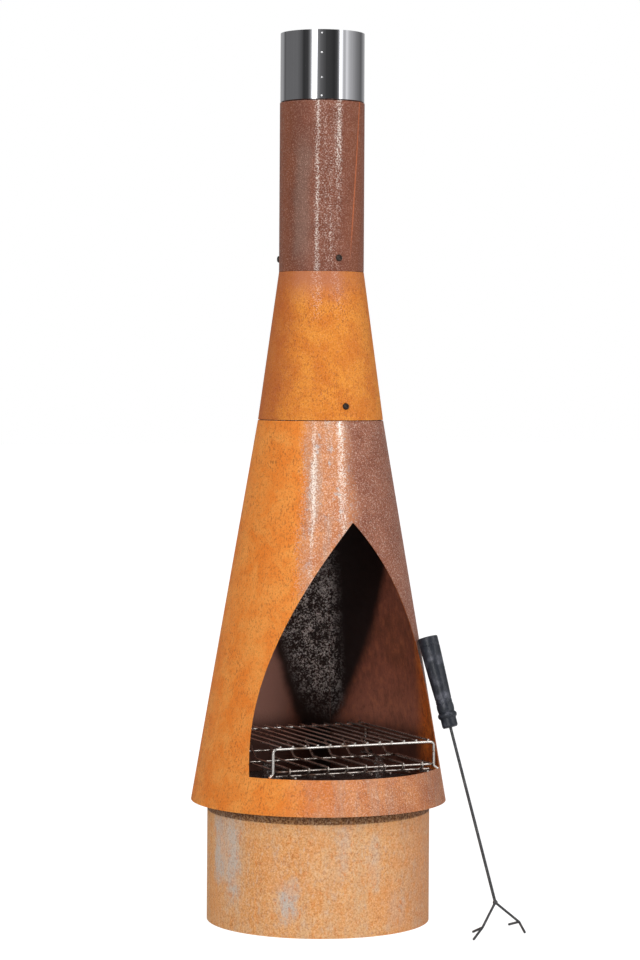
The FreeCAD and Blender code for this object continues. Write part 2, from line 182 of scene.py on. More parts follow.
def rust_group():
    """The grain of rusted plate: mottling, specks, pits, runs, bright flecks, grit and relief."""
    tree, inputs, outputs = new_group(
        "rust_grain", [("Place", "Vector", None), ("Coarse", "Float", 1.0)],
        [("Mottle", "Float"), ("Speck", "Float"), ("Pit", "Float"), ("Run", "Float"),
         ("Fleck", "Float"), ("Grit", "Float"), ("Height", "Float")])
    place = add(tree, "VectorMath", {0: inputs["Place"], "Scale": inputs["Coarse"]},
                operation="SCALE").outputs[0]
    mottle = grain(tree, place, 26, 6, 0.68, warp=0.4)
    speck = grain(tree, place, 520, 2, 0.6)
    pits = grain(tree, place, 360, 3, 0.7, stretch=(1, 1, 0.6))
    crowd = grain(tree, place, 16, 3, 0.6)
    grit = grain(tree, place, 480, 2, 0.8)
    run = grain(tree, place, 55, 3, 0.6, stretch=(1, 1, 0.07))
    tree.links.new(between(tree, mottle, 0.34, 0.66), outputs["Mottle"])
    tree.links.new(between(tree, speck, 0.38, 0.62), outputs["Speck"])
    crowded = between(tree, crowd, 0.35, 0.65, 0.45, 1.0)
    tree.links.new(calc(tree, "MULTIPLY", between(tree, pits, 0.52, 0.62), crowded),
                   outputs["Pit"])
    tree.links.new(between(tree, run, 0.42, 0.66), outputs["Run"])
    tree.links.new(between(tree, grit, 0.52, 0.64), outputs["Fleck"])
    tree.links.new(grit, outputs["Grit"])
    fine = calc(tree, "MULTIPLY", speck, 0.5)
    tree.links.new(calc(tree, "MULTIPLY_ADD", grit, 1.2, fine), outputs["Height"])
    return tree


WHERE, PATCH, RUST = where_group(), patch_group(), rust_group()


# ---- material frame -----------------------------------------------------------------------
def new_material(name, metallic=0.0, roughness=0.5, **plain):
    """A material with its Principled shader and the Object coordinates that patterns read."""
    material = bpy.data.materials.new(name)
    material.use_nodes = True
    tree = material.node_tree
    tree.nodes.clear()
    shader = add(tree, "BsdfPrincipled", {"Metallic": metallic, "Roughness": roughness})
    for socket, value in plain.items():
        shader.inputs[socket.replace("_", " ")].default_value = value
    out = tree.nodes.new("ShaderNodeOutputMaterial")
    tree.links.new(shader.outputs[0], out.inputs["Surface"])
    place = add(tree, "TexCoord").outputs["Object"]
    return material, tree, shader.inputs, place


def set_bump(tree, shader, height, strength, distance):
    bump = add(tree, "Bump", {"Strength": strength, "Distance": distance, "Height": height})
    tree.links.new(bump.outputs[0], shader["Normal"])


def shell_patch(tree, where, ragged, span, rises, soft_turn=4.0, soft_rise=0.02, rag=1.0):
    return use(tree, PATCH, {
        "Angle": where["Angle"], "Rise": where["Rise"], "Ragged": ragged,
        "From": span[0], "To": span[1], "Low": rises[0], "High": rises[1],
        "Soft turn": soft_turn, "Soft rise": soft_rise, "Rag": rag})["Mask"]


# ---- rust finishes ------------------------------------------------------------------------
ORANGE, ORANGE_DEEP, ORANGE_PALE = srgb(222, 122, 36), srgb(144, 70, 30), srgb(230, 152, 70)
BROWN, BROWN_DEEP, BROWN_PALE = srgb(136, 78, 56), srgb(92, 48, 32), srgb(158, 100, 76)
GREY_RUN, MINERAL = srgb(160, 150, 140), srgb(236, 214, 198)
# the white of the painted highlights
PAINTED_GLINT_WHITE = srgb(255, 246, 236)
SOOT, SOOT_BROWN, ASH = srgb(28, 12, 9), srgb(124, 70, 54), srgb(255, 250, 246)
SEAM_ANGLE = 150              # the upright welds of the chamber, the upper cone and the pipe


def rust_colour(tree, rust, light, main, deep, speck=0.45, pit=0.6):
    """Mottled rust from three tones, with fine specks and darker pits."""
    colour = blend(tree, rust["Mottle"], main, light)
    colour = tint(tree, colour, rust["Speck"], speck, main)
    colour = blend(tree, between(tree, rust["Grit"], 0.46, 0.34, 0.0, 0.3), colour, deep)
    return tint(tree, colour, rust["Pit"], pit, deep)


def painted_glint_runs(tree, where, rust, runs):
    """Painted highlights: a mask of bright grit in narrow upright runs, closest along each run's
    middle.

    Each run is (angle, half width in degrees, strength, lower end, upper end).
    """
    total = None
    for angle, half, strength, low, high in runs:
        off = calc(tree, "ABSOLUTE", calc(tree, "SUBTRACT", where["Angle"], angle))
        share = calc(tree, "MULTIPLY", between(tree, off, half, 0.0, 0.0, strength),
                     between(tree, where["Rise"], low, high))
        total = share if total is None else calc(tree, "MAXIMUM", total, share)
    streaky = calc(tree, "MULTIPLY_ADD", rust["Run"], 0.6, 0.6)
    total = calc(tree, "MULTIPLY", total, streaky)
    lifted = calc(tree, "MULTIPLY_ADD", total, 0.22, rust["Grit"])
    return calc(tree, "MULTIPLY", between(tree, lifted, 0.56, 0.68), total)


def inside_mask(tree, where, radius, height, slope):
    """1 on the inner side of a conical sheet whose outside has this radius at this height."""
    drop = calc(tree, "MULTIPLY", calc(tree, "SUBTRACT", where["Rise"], height), slope)
    outside = calc(tree, "SUBTRACT", radius, drop)
    depth = calc(tree, "SUBTRACT", outside, where["Radius"])
    return calc(tree, "GREATER_THAN", depth, WALL * 0.5)


def chamber_material():
    """The lower cone: orange, pinkish and brown rust with painted highlights outside, soot, rust and
    painted shadow inside.
    """
    material, tree, shader, place = new_material("chamber_rust", Specular_IOR_Level=0.42)
    where = use(tree, WHERE, {"Place": place})
    rust = use(tree, RUST, {"Place": place, "Coarse": 1.0})
    cloud = grain(tree, place, 9, 4, 0.6)

    orange = rust_colour(tree, rust, ORANGE_PALE, ORANGE, ORANGE_DEEP)
    brown = rust_colour(tree, rust, BROWN_PALE, BROWN, BROWN_DEEP, speck=0.7)
    brown = tint(tree, brown, rust["Fleck"], 0.4, MINERAL)

    pinkish = rust_colour(tree, rust, srgb(218, 150, 100), srgb(190, 114, 66), BROWN, speck=0.6)
    pinkish = tint(tree, pinkish, rust["Run"], 0.4, GREY_RUN)
    pinkish = tint(tree, pinkish, rust["Fleck"], 0.4, MINERAL)

    rough_edge = calc(tree, "MULTIPLY_ADD", rust["Grit"], 1.2, cloud)
    rough_edge = calc(tree, "SUBTRACT", rough_edge, 0.6)
    upper_pink = shell_patch(tree, where, rough_edge, (-36, 150), (0.34, 1.0), 8.0, 0.20, 2.2)
    lower_pink = shell_patch(tree, where, cloud, (-30, 150), (0.1, 0.34), 36.0, 0.20, 1.6)
    pink_share = calc(tree, "MAXIMUM", upper_pink, calc(tree, "MULTIPLY", lower_pink, 0.85))
    brown_share = shell_patch(tree, where, rough_edge, (0, 150), (0.32, 1.0), 14.0, 0.14, 1.8)
    low_brown = shell_patch(tree, where, cloud, (10, 150), (0.1, 0.32), 60.0, 0.14, 1.8)
    brown_share = calc(tree, "MAXIMUM", brown_share, calc(tree, "MULTIPLY", low_brown, 0.5))
    # small blue-grey bare spots, most of them in the middle of the pinkish part
    spots = between(tree, grain(tree, place, 75, 3, 0.65), 0.60, 0.68, 0.0, 0.55)
    spots = calc(tree, "MULTIPLY", spots, between(tree, where["Rise"], 0.45, 0.70))
    pinkish = blend(tree, spots, pinkish, srgb(172, 178, 184))
    colour = blend(tree, pink_share, orange, pinkish)
    colour = blend(tree, brown_share, colour, brown)
    # painted highlights: bright upright runs where the glints of the strips fall
    bright = painted_glint_runs(tree, where, rust, (
        (-29, 6, 0.6, 0.40, 0.66), (-7, 7, 1.0, 0.50, 0.74), (-14, 24, 0.35, 0.45, 0.7)))
    colour = blend(tree, bright, colour, PAINTED_GLINT_WHITE)
    gloss_share = calc(tree, "MAXIMUM", upper_pink, brown_share)

    soot = grain(tree, place, 12, 4, 0.6)
    inner = blend(tree, between(tree, soot, 0.35, 0.65), SOOT_BROWN, srgb(112, 62, 44))
    low_down = between(tree, where["Rise"], 0.40, 0.28, 0.0, 0.6)
    inner = blend(tree, low_down, inner, srgb(150, 94, 76))
    # rust that scales off, drawn out upright
    scaly = grain(tree, place, 120, 5, 0.85, stretch=(1, 1, 0.4))
    inner = blend(tree, between(tree, scaly, 0.50, 0.38, 0.0, 0.4), inner, srgb(66, 32, 22))
    inner = blend(tree, between(tree, scaly, 0.50, 0.64, 0.0, 0.35), inner, srgb(182, 108, 72))
    # the angle counted on past the back, so that the seam's left side follows its right side
    past = calc(tree, "MULTIPLY", calc(tree, "LESS_THAN", where["Angle"], 0.0), 360.0)
    past = calc(tree, "ADD", where["Angle"], past)
    left_side = between(tree, past, SEAM_ANGLE - 0.5, SEAM_ANGLE + 0.5)
    # on the right, soot and painted shadow above a line that climbs from the seam to the mouth's
    # right edge, along the edge of the shadow cast by the mouth's left edge
    line = calc(tree, "MULTIPLY_ADD", calc(tree, "SUBTRACT", past, 142.0), 0.0062, where["Rise"])
    soot_and_painted_shadow = between(tree, calc(tree, "MULTIPLY_ADD", soot, 0.03, line), 0.315, 0.365)
    soot_and_painted_shadow = calc(tree, "MULTIPLY", soot_and_painted_shadow, between(tree, where["Angle"], 20.0, 60.0))
    # on the left, flaking soot and painted shade above a line that climbs away from the seam, along
    # the edge of the shadow cast by the mouth's right edge
    line = calc(tree, "MULTIPLY_ADD", calc(tree, "SUBTRACT", past, 180.0), -0.0078, where["Rise"])
    flaking_soot_and_shade = between(tree, calc(tree, "MULTIPLY_ADD", soot, 0.06, line), 0.40, 0.45)
    flaked = calc(tree, "MULTIPLY", between(tree, line, 0.41, 0.52),
                  between(tree, past, SEAM_ANGLE - 10.0, SEAM_ANGLE + 3.0))
    flaking_soot_and_shade = calc(tree, "MULTIPLY", flaking_soot_and_shade, left_side)
    soot_and_painted_shadow = calc(tree, "MULTIPLY", soot_and_painted_shadow, calc(tree, "SUBTRACT", 1.0, left_side))
    inner = blend(tree, between(tree, past, 165.0, 178.0), inner, srgb(164, 118, 104))
    inner = blend(tree, flaking_soot_and_shade, inner, srgb(46, 30, 25))
    inner = blend(tree, calc(tree, "MAXIMUM", soot_and_painted_shadow, between(tree, where["Rise"], 0.58, 0.66)),
                  inner, SOOT)
    flake = grain(tree, place, 320, 3, 0.85)
    patches = grain(tree, place, 60, 3, 0.6)
    flakes = between(tree, calc(tree, "MULTIPLY_ADD", patches, 0.4, flake), 0.68, 0.82)
    flakes = calc(tree, "MULTIPLY", flakes, between(tree, where["Rise"], 0.62, 0.48))
    flakes = calc(tree, "MULTIPLY", flakes, between(tree, where["Rise"], 0.28, 0.38))
    inner = tint(tree, inner, flakes, flaked, ASH)
    inner = blend(tree, between(tree, where["Rise"], 0.315, 0.27, 0.0, 0.75), inner, SOOT)
    # the rim of the mouth's right side, less sooted
    rim = calc(tree, "MULTIPLY_ADD", calc(tree, "SUBTRACT", where["Rise"], 0.25), 80.0,
               where["Angle"])
    rim = between(tree, calc(tree, "MULTIPLY_ADD", soot, 8.0, rim), 106.0, 90.0)
    rim = calc(tree, "MULTIPLY", rim, between(tree, where["Angle"], 0.0, 10.0))
    rim_rust = rust_colour(tree, rust, srgb(222, 124, 52), srgb(196, 94, 34), srgb(110, 52, 26),
                           pit=0.9)
    rim_rust = blend(tree, between(tree, scaly, 0.52, 0.38, 0.0, 0.8), rim_rust, srgb(112, 50, 24))
    inner = blend(tree, rim, inner, rim_rust)

    inside = inside_mask(tree, where, SKIRT_R, SKIRT_Z, CHAMBER_SLOPE)
    colour = blend(tree, inside, colour, inner)
    tree.links.new(colour, shader["Base Color"])

    shine = calc(tree, "MULTIPLY_ADD", rust["Fleck"], -0.26, 0.56)
    rough = add(tree, "Mix", {0: gloss_share, 2: 0.7, 3: shine}).outputs[0]
    rough = add(tree, "Mix", {0: inside, 2: rough, 3: 0.6}).outputs[0]
    tree.links.new(rough, shader["Roughness"])
    set_bump(tree, shader, rust["Height"], 0.7, 0.0012)
    return material


def upper_material():
    """The second cone: even orange rust, browner towards the flue."""
    material, tree, shader, place = new_material("upper_cone_rust", roughness=0.68,
                                                 Specular_IOR_Level=0.3)
    where = use(tree, WHERE, {"Place": place})
    rust = use(tree, RUST, {"Place": place, "Coarse": 1.15})
    cloud = grain(tree, place, 12, 4, 0.6)
    colour = rust_colour(tree, rust, srgb(222, 144, 54), srgb(202, 114, 34), srgb(142, 64, 26),
                         pit=0.8)
    red = shell_patch(tree, where, cloud, (-170, -64), (0.7, 1.1), 36.0, 0.1, 1.5)
    colour = tint(tree, colour, red, 0.6, srgb(160, 76, 34))
    pink = shell_patch(tree, where, cloud, (-64, 10), (0.985, 1.1), 26.0, 0.05, 1.5)
    colour = tint(tree, colour, pink, 0.75, srgb(180, 112, 82))
    ring = shell_patch(tree, where, cloud, (-400, 400), (1.0, 1.1), 20.0, 0.03, 1.5)
    colour = tint(tree, colour, ring, 0.4, srgb(164, 96, 62))
    colour = tint(tree, colour, rust["Fleck"], 0.08, MINERAL)
    # painted highlights: bright upright runs where the glints of the strips fall
    bright = painted_glint_runs(tree, where, rust, (
        (-30, 12, 0.4, 0.93, 0.99), (-4, 14, 0.3, 0.93, 0.99)))
    colour = blend(tree, bright, colour, PAINTED_GLINT_WHITE)
    inside = inside_mask(tree, where, NECK_R, NECK_Z, UPPER_SLOPE)
    colour = blend(tree, inside, colour, SOOT)
    tree.links.new(colour, shader["Base Color"])
    set_bump(tree, shader, rust["Height"], 0.4, 0.0010)
    return material


def pipe_material():
    """The flue: dark mauve-brown rust, with a drip line and a sooted inside."""
    material, tree, shader, place = new_material("flue_rust", Specular_IOR_Level=0.45)
    where = use(tree, WHERE, {"Place": place})
    rust = use(tree, RUST, {"Place": place, "Coarse": 1.1})
    cloud = grain(tree, place, 14, 4, 0.6)
    colour = rust_colour(tree, rust, srgb(134, 80, 60), srgb(112, 60, 42), BROWN_DEEP, speck=0.6)
    dark = shell_patch(tree, where, cloud, (-130, -48), (0.9, 1.4), 30.0, 0.1, 1.2)
    colour = tint(tree, colour, dark, 0.5, srgb(88, 42, 26))
    edge = calc(tree, "SUBTRACT", 1.0,
                shell_patch(tree, where, cloud, (-66, 16), (0.9, 1.4), 34.0, 0.1, 1.5))
    colour = tint(tree, colour, edge, 0.6, srgb(128, 68, 38))
    grey = shell_patch(tree, where, cloud, (-62, -38), (1.05, 1.22), 14.0, 0.08, 1.5)
    colour = tint(tree, colour, grey, 0.5, srgb(126, 100, 88))
    colour = tint(tree, colour, rust["Fleck"], 0.3, srgb(214, 172, 152))
    # painted highlights: bright upright runs where the glints of the strips fall
    bright = painted_glint_runs(tree, where, rust, (
        (-30, 7, 0.5, 0.95, 1.02), (-2, 10, 0.6, 0.98, 1.2), (-14, 24, 0.3, 0.95, 1.05)))
    colour = blend(tree, bright, colour, PAINTED_GLINT_WHITE)
    # an orange drip line that leans down the right side
    lean = calc(tree, "MULTIPLY_ADD", calc(tree, "SUBTRACT", where["Rise"], 1.07), -76.0,
                where["Angle"])
    drip = between(tree, calc(tree, "ABSOLUTE", calc(tree, "SUBTRACT", lean, 20.0)), 1.6, 0.6)
    drip = calc(tree, "MULTIPLY", drip, between(tree, where["Rise"], 1.02, 1.12, 0.0, 0.6))
    colour = blend(tree, drip, colour, srgb(206, 108, 58))
    inside = calc(tree, "LESS_THAN", where["Radius"], THROAT_R - WALL * 0.5)
    colour = blend(tree, inside, colour, SOOT)
    tree.links.new(colour, shader["Base Color"])
    tree.links.new(calc(tree, "MULTIPLY_ADD", rust["Fleck"], -0.24, 0.54), shader["Roughness"])
    set_bump(tree, shader, rust["Height"], 0.7, 0.0012)
    return material


def base_material():
    """The base ring: pale orange rust, with grey bare runs and coarse grit."""
    material, tree, shader, place = new_material("base_rust", roughness=0.7, Specular_IOR_Level=0.3)
    where = use(tree, WHERE, {"Place": place})
    rust = use(tree, RUST, {"Place": place, "Coarse": 0.7})
    cloud = grain(tree, place, 16, 4, 0.65)
    rag = grain(tree, place, 60, 4, 0.7, stretch=(1, 1, 0.5))
    colour = rust_colour(tree, rust, srgb(220, 172, 120), srgb(214, 150, 86), srgb(176, 104, 56),
                         pit=0.55)
    colour = tint(tree, colour, rust["Run"], 0.35, srgb(190, 160, 128))
    pink = shell_patch(tree, where, cloud, (26, 160), (-0.1, 0.3), 40.0, 0.1, 1.5)
    colour = tint(tree, colour, pink, 0.5, srgb(196, 132, 96))
    for span, rises, amount in (((-90, -79), (0.075, 0.175), 0.8), ((-78, -68), (0.05, 0.17), 0.8),
                                ((-44, -34), (0.03, 0.085), 0.9), ((-14, -8), (0.10, 0.17), 0.4),
                                ((2, 8), (0.06, 0.15), 0.35), ((14, 26), (0.01, 0.06), 0.45)):
        run = shell_patch(tree, where, rag, span, rises, 5.0, 0.03, 2.5)
        colour = tint(tree, colour, run, amount, srgb(180, 174, 166))
    patch = grain(tree, place, 150, 6, 0.85, stretch=(1, 1, 0.5))
    colour = blend(tree, between(tree, patch, 0.50, 0.66, 0.0, 0.5), colour, srgb(196, 176, 164))
    colour = blend(tree, between(tree, patch, 0.48, 0.34, 0.0, 0.8), colour, srgb(208, 118, 46))
    warm = between(tree, cloud, 0.46, 0.62, 0.0, 0.45)
    colour = blend(tree, warm, colour, srgb(216, 144, 78))
    colour = tint(tree, colour, rust["Fleck"], 0.3, srgb(244, 208, 172))
    colour = blend(tree, between(tree, rust["Grit"], 0.46, 0.36, 0.0, 0.4), colour,
                   srgb(158, 88, 44))
    # painted shade with grit: a dark band under the chamber's skirt, where the skirt's shadow falls
    painted_skirt_shade = between(tree, where["Rise"], SKIRT_Z - 0.0165, SKIRT_Z - 0.0145)
    painted_skirt_shade = calc(tree, "MULTIPLY", painted_skirt_shade, between(tree, rust["Grit"], 0.40, 0.60, 0.95, 0.55))
    colour = blend(tree, painted_skirt_shade, colour, srgb(84, 50, 28))
    inside = calc(tree, "LESS_THAN", where["Radius"], BASE_R - WALL * 0.5)
    colour = blend(tree, inside, colour, srgb(120, 74, 50))
    tree.links.new(colour, shader["Base Color"])
    set_bump(tree, shader, rust["Height"], 0.4, 0.0010)
    return material


def soot_material():
    """Sooted plate, for the fire floor and the small pieces out of sight."""
    material, tree, shader, place = new_material("sooted_plate", roughness=0.75)
    rust = use(tree, RUST, {"Place": place, "Coarse": 1.0})
    colour = rust_colour(tree, rust, srgb(70, 46, 36), srgb(52, 34, 28), SOOT)
    colour = tint(tree, colour, rust["Fleck"], 0.3, ASH)
    tree.links.new(colour, shader["Base Color"])
    set_bump(tree, shader, rust["Height"], 0.5, 0.0010)
    return material


# ---- metals and the handle ----------------------------------------------------------------
def sleeve_material():
    """Bright rolled stainless, with faint vertical roll lines and a little haze."""
    material, tree, shader, place = new_material("rolled_stainless", metallic=1.0)
    lines = grain(tree, place, 260, 2, 0.5, stretch=(1, 1, 0.01))
    haze = grain(tree, place, 18, 3, 0.6)
    colour = blend(tree, lines, srgb(204, 204, 208), srgb(222, 222, 226))
    colour = blend(tree, between(tree, haze, 0.55, 0.75, 0.0, 0.25), colour, srgb(176, 174, 172))
    tree.links.new(colour, shader["Base Color"])
    rough = calc(tree, "MULTIPLY_ADD", lines, 0.04, 0.01)
    tree.links.new(calc(tree, "MULTIPLY_ADD", haze, 0.05, rough), shader["Roughness"])
    set_bump(tree, shader, lines, 0.03, 0.0003)
    return material


def wire_material(name, clean, smoked, share):
    """Plated wire, smoked brown in places."""
    material, tree, shader, place = new_material(name, metallic=0.95)
    stain = grain(tree, place, 30, 4, 0.65)
    spots = grain(tree, place, 210, 2, 0.6)
    mask = between(tree, stain, 0.62 - share, 0.80 - share)
    colour = blend(tree, mask, clean, smoked)
    colour = blend(tree, between(tree, spots, 0.60, 0.72, 0.0, 0.5), colour, srgb(70, 50, 40))
    tree.links.new(colour, shader["Base Color"])
    tree.links.new(calc(tree, "MULTIPLY_ADD", mask, 0.2, 0.2), shader["Roughness"])
    set_bump(tree, shader, spots, 0.15, 0.0004)
    return material


def painted_steel(name, dark, light, roughness, metallic=0.0):
    """Dark steel or paint, with fine grain and small rubbed spots."""
    material, tree, shader, place = new_material(name, metallic=metallic)
    fine = grain(tree, place, 420, 2, 0.6)
    worn = grain(tree, place, 60, 4, 0.65)
    colour = blend(tree, between(tree, worn, 0.45, 0.75), dark, light)
    tree.links.new(colour, shader["Base Color"])
    tree.links.new(calc(tree, "MULTIPLY_ADD", fine, 0.12, roughness - 0.06), shader["Roughness"])
    set_bump(tree, shader, fine, 0.2, 0.0003)
    return material


chamber_rust, upper_rust = chamber_material(), upper_material()
pipe_rust, base_rust, sooted = pipe_material(), base_material(), soot_material()
stainless = sleeve_material()
grill_wire = wire_material("plated_grill_wire", srgb(236, 230, 224), srgb(150, 126, 110), 0.10)
grate_wire = wire_material("smoked_grate_wire", srgb(216, 206, 198), srgb(120, 92, 78), 0.14)
weld_nugget = painted_steel("weld_nugget", srgb(214, 214, 216), srgb(250, 250, 250), 0.4, 0.2)
black_oxide = painted_steel("black_oxide", srgb(62, 54, 50), srgb(96, 88, 82), 0.3, 0.9)
mill_steel = painted_steel("mill_steel", srgb(112, 106, 102), srgb(140, 132, 126), 0.5, 0.8)
poker_paint = painted_steel("poker_grey", srgb(72, 72, 74), srgb(102, 102, 102), 0.42, 0.5)
handle_black = painted_steel("handle_black", srgb(36, 39, 46), srgb(84, 85, 94), 0.36)

FINISHES = {
    chamber_rust: ("fire_chamber",),
    upper_rust: ("upper_cone",),
    pipe_rust: ("flue_pipe",),
    base_rust: ("base_ring",),
    sooted: ("fire_floor", "rest_lugs", "grate_posts", "cone_collar", "pipe_collar"),
    stainless: ("chimney_sleeve",),
    grill_wire: ("grill_front_frame", "grill_rear_frame", "grill_rods"),
    grate_wire: ("grate_frame", "grate_low_rail", "grate_rear_rail", "grate_rods", "grate_toes"),
    black_oxide: ("floor_screws", "cone_screws", "pipe_screws"),
    mill_steel: ("floor_nuts", "cone_nuts", "pipe_nuts", "base_tabs"),
    poker_paint: ("poker_rod", "poker_fork_left", "poker_fork_right"),
    handle_black: ("poker_handle", "poker_ferrule"),
}
for material, names in FINISHES.items():
    for name in names:
        slots = nodes[name].data.materials
        slots.clear()
        slots.append(material)
        for face in nodes[name].data.polygons:
            face.material_index = 0


# ---- small pieces -------------------------------------------------------------------------
def new_piece(name, mesh_builder, material, body):
    """A smooth piece made from a finished bmesh, with its material, on its body."""
    mesh = bpy.data.meshes.new(name)
    bmesh.ops.recalc_face_normals(mesh_builder, faces=mesh_builder.faces)
    mesh_builder.to_mesh(mesh)
    mesh_builder.free()
    for face in mesh.polygons:
        face.use_smooth = True
    mesh.materials.append(material)
    piece = bpy.data.objects.new(name, mesh)
    bpy.context.scene.collection.objects.link(piece)
    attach(piece, body)


UPRIGHT = Vector((0, 0, 1))
SPOT_WELD_HEIGHTS = (1.3945, 1.364, 1.325, 1.2965)
SPOT_R, SPOT_PROUD, SPOT_OUT = 0.0016, 0.0007, 0.0009
LAP_ANGLE = -25.0             # the sleeve's lapped edge
BASE_SEAM_ANGLE = -57.6


def around(angle, radius, height):
    """A point at an angle in degrees from -Y towards +X."""
    turn = math.radians(angle)
    return Vector((radius * math.sin(turn), -radius * math.cos(turn), height))


def bead(builder, start, end, outward, half_width, height, ripples):
    """A rippled weld bead, half of it bedded in the wall."""
    first = len(builder.verts)
    made = bmesh.ops.create_cone(builder, cap_ends=True, segments=10, radius1=1, radius2=1, depth=1)
    long_edges = {e for v in made["verts"] for e in v.link_edges
                  if abs(e.verts[0].co.z - e.verts[1].co.z) > 0.5}
    bmesh.ops.subdivide_edges(builder, edges=list(long_edges), cuts=ripples * 2 - 1)
    builder.verts.ensure_lookup_table()
    along = end - start
    side = along.cross(outward).normalized()
    for vert in builder.verts[first:]:
        share = vert.co.z + 0.5
        swell = 1.0 if round(share * ripples * 2) % 2 else 0.8
        vert.co = (start + along * share + side * (vert.co.x * half_width * swell)
                   + outward * (vert.co.y * height * swell))


def dot(builder, centre, sizes, axes):
    """A small flattened ball, for a spot weld."""
    made = bmesh.ops.create_icosphere(builder, subdivisions=2, radius=1)
    for vert in made["verts"]:
        vert.co = centre + sum((axis * (size * part) for axis, size, part
                                in zip(axes, sizes, vert.co)), Vector())


def spot_welds():
    """Four spot welds down the sleeve's lap."""
    builder = bmesh.new()
    out = around(LAP_ANGLE, 1, 0)
    for height in SPOT_WELD_HEIGHTS:
        centre = around(LAP_ANGLE, SLEEVE_R + SPOT_OUT, height)
        dot(builder, centre, (SPOT_R, SPOT_R, SPOT_PROUD), (out.cross(UPRIGHT), UPRIGHT, out))
    new_piece("sleeve_spot_welds", builder, weld_nugget, "stove")


def chamber_seam():
    """The upright weld of the chamber's rolled sheet, inside and out."""
    builder = bmesh.new()
    out = around(SEAM_ANGLE, 1, CHAMBER_SLOPE).normalized()
    low, high = SKIRT_Z + 0.004, NECK_Z - 0.004
    wall = WALL * math.sqrt(1 + CHAMBER_SLOPE ** 2)
    for inset, way, half_width in ((0.0, out, 0.0022), (wall, -out, 0.0026)):
        ends = [around(SEAM_ANGLE, SKIRT_R - (z - SKIRT_Z) * CHAMBER_SLOPE - inset, z)
                for z in (low, high)]
        bead(builder, ends[0], ends[1], way, half_width, 0.0009, 150)
    new_piece("chamber_seam_weld", builder, chamber_rust, "stove")


def upper_seam():
    """The upright weld of the upper cone's rolled sheet."""
    builder = bmesh.new()
    out = around(SEAM_ANGLE, 1, UPPER_SLOPE).normalized()
    ends = [around(SEAM_ANGLE, NECK_R - (z - NECK_Z) * UPPER_SLOPE, z)
            for z in (NECK_Z + 0.004, THROAT_Z - 0.003)]
    bead(builder, ends[0], ends[1], out, 0.0022, 0.0008, 60)
    new_piece("upper_seam_weld", builder, upper_rust, "stove")


def pipe_seam():
    """The upright weld of the flue pipe."""
    builder = bmesh.new()
    ends = [around(SEAM_ANGLE, THROAT_R, z) for z in (THROAT_Z + 0.004, PIPE_TOP_Z - 0.003)]
    bead(builder, ends[0], ends[1], around(SEAM_ANGLE, 1, 0), 0.0020, 0.0007, 70)
    new_piece("pipe_seam_weld", builder, pipe_rust, "stove")


def base_seam():
    """The upright weld of the base ring, ground nearly flush."""
    builder = bmesh.new()
    ends = [around(BASE_SEAM_ANGLE, BASE_R, z) for z in (0.003, 0.2)]
    bead(builder, ends[0], ends[1], around(BASE_SEAM_ANGLE, 1, 0), 0.0016, 0.0004, 55)
    new_piece("base_seam_weld", builder, base_rust, "stove")


def rod_xs(name):
    """The distinct x places of the rods in a node, from its vertices."""
    xs = sorted(v.co.x for v in nodes[name].data.vertices)
    groups = [[xs[0]]]
    for x in xs[1:]:
        if x - groups[-1][-1] > 0.004:
            groups.append([])
        groups[-1].append(x)
    return [(group[0] + group[-1]) / 2 for group in groups]


def crossing_welds():
    """Little fillets where rods are welded to rails."""
    flat = (Vector((1, 0, 0)), Vector((0, 1, 0)), Vector((0, 0, 1)))
    grill, grate = bmesh.new(), bmesh.new()
    rods_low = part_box("grill_rods")[0]
    for rail in ("grill_front_frame", "grill_rear_frame"):
        low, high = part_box(rail)
        y = (low.y + high.y) / 2 + (0.0008 if "front" in rail else -0.0008)
        for x in rod_xs("grill_rods"):
            dot(grill, Vector((x, y, rods_low.z)), (0.0022, 0.0016, 0.0011), flat)
    frame_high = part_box("grate_frame")[1]
    rear_low, rear_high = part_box("grate_rear_rail")
    rear = (rear_low + rear_high) / 2
    for x in rod_xs("grate_rods"):
        dot(grate, Vector((x, frame_high.y - 0.0017, frame_high.z)),
            (0.0024, 0.0017, 0.0009), flat)
        dot(grate, Vector((x, rear.y - 0.0010, rear.z + 0.0014)), (0.0024, 0.0014, 0.0012), flat)
    new_piece("grill_crossing_welds", grill, grill_wire, "grill")
    new_piece("grate_crossing_welds", grate, grate_wire, "grate")


spot_welds()
chamber_seam()
upper_seam()
pipe_seam()
base_seam()
crossing_welds()


# ---- studio -------------------------------------------------------------------------------
VIEW_ANGLE = -24.0            # the camera's place round the axis, from -Y towards +X
VIEW_DISTANCE, VIEW_HEIGHT = 4.548, 0.855
VIEW_LENS, VIEW_SHIFT = 107.6, -0.10625
VIEW_ASIDE, VIEW_ROLL = 0.0012, 0.33
FLOOR_HALF = 30


